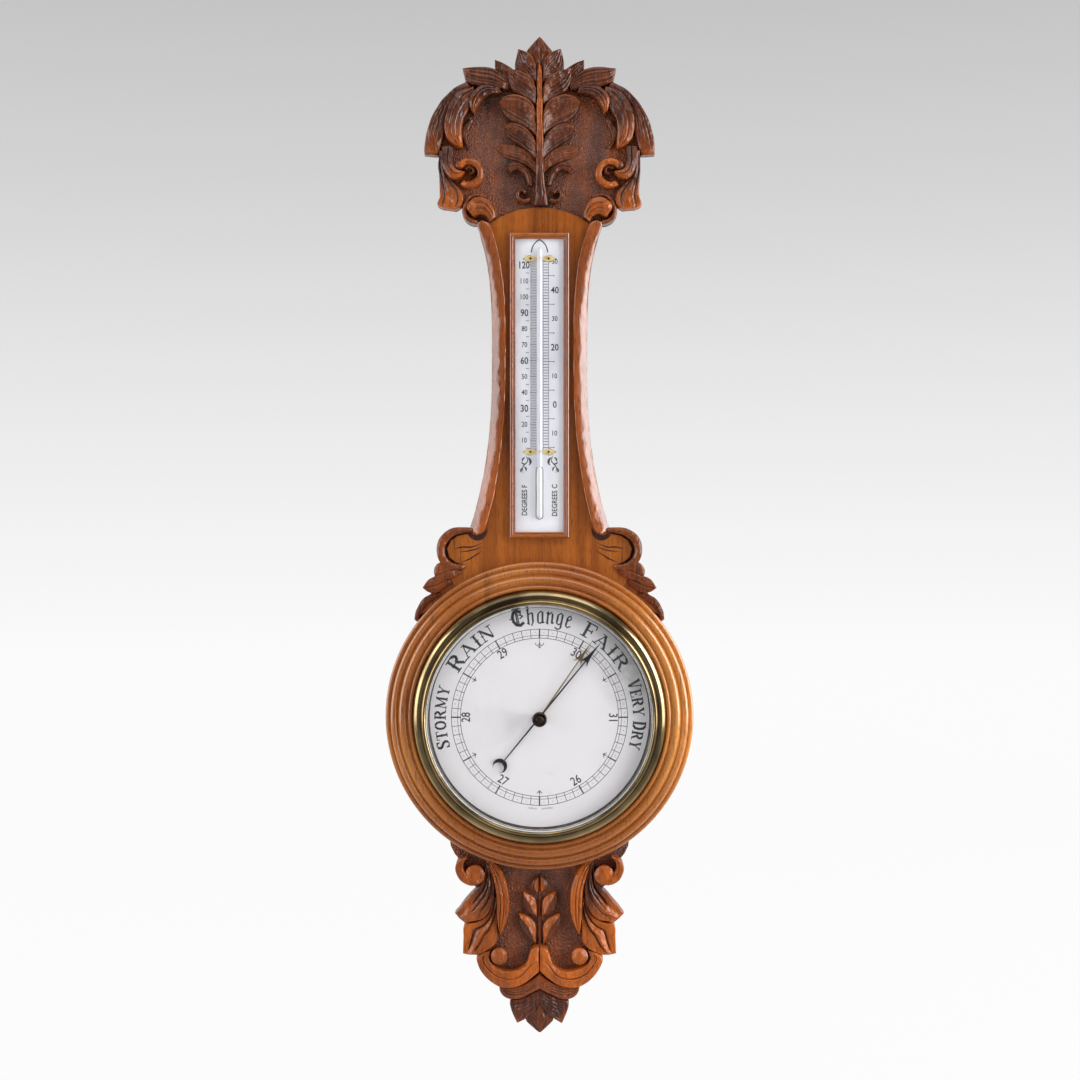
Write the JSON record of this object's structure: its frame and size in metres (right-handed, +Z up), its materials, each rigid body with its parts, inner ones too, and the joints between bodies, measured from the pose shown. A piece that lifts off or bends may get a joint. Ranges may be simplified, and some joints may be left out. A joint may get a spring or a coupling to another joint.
{
  "type": "wall barometer",
  "caption": "Carved oak wall barometer: leaf crest and scrolled base, waist with a framed thermometer, and a round brass-rimmed dial whose pointer shows air pressure.",
  "frame": {"origin": "centre of the hole in the hanging plate, in the plane of the wall", "axes": "+Z up the case, +Y into the wall, +X to the right as seen from the front"},
  "size_m": [0.277, 0.0647, 0.901],
  "materials": {
    "oak_panel": "polished warm brown oak with upright grain",
    "oak_carved": "dark polished carved oak",
    "brass": "aged lacquered brass",
    "steel": "plain steel",
    "silvered": "silvered metal",
    "blued_steel": "dark blued steel",
    "dial_white": "white enamelled dial",
    "plate_white": "cool white glazed plate",
    "glass": "clear bevelled glass",
    "tube_glass": "clear tube glass",
    "mercury": "bright liquid metal"
  },
  "bodies": {
    "case": {"case_board": "oak_panel", "crest_block": "oak_carved", "base_block": "oak_carved", "shoulder_left": "oak_carved", "shoulder_right": "oak_carved", "waist_moulding_left": "oak_panel", "waist_moulding_right": "oak_panel", "dial_ring": "oak_panel", "ring_screws": "steel", "bezel": "brass", "glass": "glass", "sight_ring": "silvered", "glass_bush": "brass", "dial_plate": "dial_white", "dial_pillars": "brass", "frame_left": "oak_panel", "frame_right": "oak_panel", "frame_top": "oak_panel", "frame_bottom": "oak_panel", "thermometer_plate": "plate_white", "thermometer_tube": "tube_glass", "thermometer_tip": "tube_glass", "mercury": "mercury", "tube_clip_upper": "brass", "tube_clip_lower": "brass", "clip_pins": "brass", "movement_casing": "brass", "casing_screws": "steel", "vacuum_capsule": "brass", "spring_bridge": "steel", "shaft_brackets": "brass", "chain": "steel", "arbor_plate": "brass", "plate_pillars": "brass", "arbor_cock": "brass", "hairspring": "steel", "back_cover": "brass", "cover_screws": "steel", "hanger_plate": "brass", "hanger_screws": "steel"},
    "pointer": {"hand_arbor": "steel", "indicator_hand": "blued_steel"},
    "rocker": {"rocking_shaft": "steel"},
    "lever": {"main_spring": "steel", "main_lever": "steel", "lever_link": "steel"},
    "set_hand": {"set_hand": "brass", "set_knob": "brass"},
    "adjuster": {"adjusting_screw": "steel"}
  },
  "joints": [
    {"name": "pointer_turn", "type": "hinge", "parent": "case", "child": "pointer", "pos_m": [0, 0, -0.536], "axis": [0, 1, 0], "range_deg": [-249.3, 50.7], "stiffness_Nm_per_rad": 0.0005, "deforming": ["hairspring", "chain"]},
    {"name": "rocker_tilt", "type": "hinge", "parent": "case", "child": "rocker", "pos_m": [0, -0.012, -0.474], "axis": [1, 0, 0], "range_deg": [-19.2, 4.2]},
    {"name": "lever_rock", "type": "hinge", "parent": "case", "child": "lever", "pos_m": [0, -0.0231, -0.559], "axis": [1, 0, 0], "range_deg": [-0.3, 1.25]},
    {"name": "set_hand_turn", "type": "hinge", "parent": "case", "child": "set_hand", "pos_m": [0, 0, -0.536], "axis": [0, 1, 0], "continuous": true},
    {"name": "adjuster_turn", "type": "hinge", "parent": "case", "child": "adjuster", "pos_m": [0.044, 0, -0.559], "axis": [0, 1, 0], "range_deg": [-180, 180]}
  ],
  "couplings": [
    {"joint": "rocker_tilt", "follows": "pointer_turn", "ratio": 0.0756},
    {"joint": "lever_rock", "follows": "pointer_turn", "ratio": -0.00464}
  ]
}
